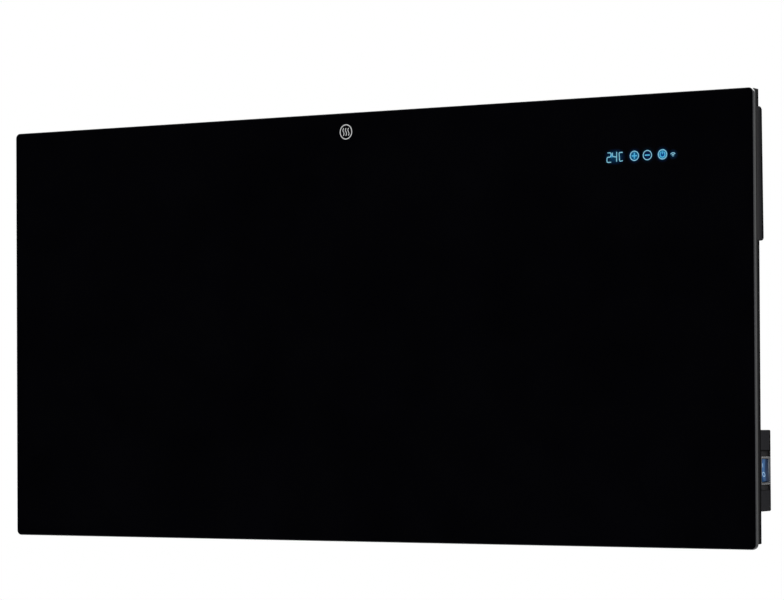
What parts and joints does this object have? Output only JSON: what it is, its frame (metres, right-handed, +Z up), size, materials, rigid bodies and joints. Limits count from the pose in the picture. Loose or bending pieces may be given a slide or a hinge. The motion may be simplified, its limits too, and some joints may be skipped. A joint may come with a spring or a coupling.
{
  "type": "infrared panel heater",
  "caption": "Frameless black glass infrared panel heater on a shallow steel tray, with a thermostat cover, a recessed side rocker switch, a cable gland and wall rails.",
  "frame": {"origin": "centre of the hanging rail's wall-side face, which lies on the wall", "axes": "+X to the right as seen from the front of the glass, +Y from the glass towards the wall, +Z up; metres"},
  "size_m": [1.0001, 0.052, 0.5],
  "materials": {
    "black_glass": "polished, printed black on its back",
    "seal_black": "matt",
    "tray_black": "fine matt powder coat",
    "carbon_film": "matt",
    "copper": "bright copper foil",
    "foil": "bright",
    "mineral_board": "felted mineral fibre",
    "white_plastic": "satin",
    "lead_sleeve": "silicone sleeve",
    "cover_black": "satin moulded",
    "plated_steel": "zinc plated",
    "circuit_board": "solder resist",
    "component_black": "satin",
    "light_guide": "clear moulded",
    "component_blue": "gloss",
    "laminations": "stacked sheet",
    "gloss_black": "gloss",
    "rocker_blue": "translucent, lit from behind",
    "brass": "nickel free brass",
    "rubber_black": "matt"
  },
  "bodies": {
    "panel": {"glass_front": "black_glass", "edge_seal": "seal_black", "back_tray": "tray_black", "heating_mat_main": "carbon_film", "heating_mat_side": "carbon_film", "busbar_left": "copper", "busbar_centre": "copper", "busbar_right": "copper", "reflector_foil": "foil", "insulation_board": "mineral_board", "overheat_cutout_main": "white_plastic", "overheat_cutout_side": "white_plastic", "mat_lead_left": "lead_sleeve", "mat_lead_centre": "lead_sleeve", "mat_lead_right": "lead_sleeve", "supply_lead": "lead_sleeve", "control_cover": "cover_black", "control_cover_screw_lower_left": "plated_steel", "control_cover_screw_lower_right": "plated_steel", "control_cover_screw_upper_left": "plated_steel", "control_cover_screw_upper_right": "plated_steel", "board_carrier": "white_plastic", "display_board": "circuit_board", "digit_display": "component_black", "light_guide_plus": "light_guide", "light_guide_minus": "light_guide", "light_guide_power": "light_guide", "light_guide_signal": "light_guide", "wireless_module": "component_black", "power_board": "circuit_board", "relay": "component_blue", "transformer": "laminations", "capacitor": "component_blue", "terminal_block": "white_plastic", "room_sensor": "component_black", "switch_housing": "cover_black", "switch_pillar_lower": "brass", "switch_pillar_upper": "brass", "switch_housing_screw_lower": "plated_steel", "switch_housing_screw_upper": "plated_steel", "switch_plate": "cover_black", "switch_frame": "gloss_black", "switch_terminal_upper_front": "brass", "switch_terminal_upper_rear": "brass", "switch_terminal_lower_front": "brass", "switch_terminal_lower_rear": "brass", "gland_body": "cover_black", "gland_locknut": "cover_black", "gland_seal": "rubber_black", "gland_nut": "cover_black", "hanging_rail": "tray_black", "spacer_rail": "tray_black", "bumper_left": "rubber_black", "bumper_right": "rubber_black"},
    "rocker": {"rocker": "rocker_blue"}
  },
  "joints": [
    {"name": "rocker_tilt", "type": "hinge", "parent": "panel", "child": "rocker", "pos_m": [0.4939, -0.0223, -0.315], "axis": [0, 1, 0], "range_deg": [0, 16]}
  ]
}
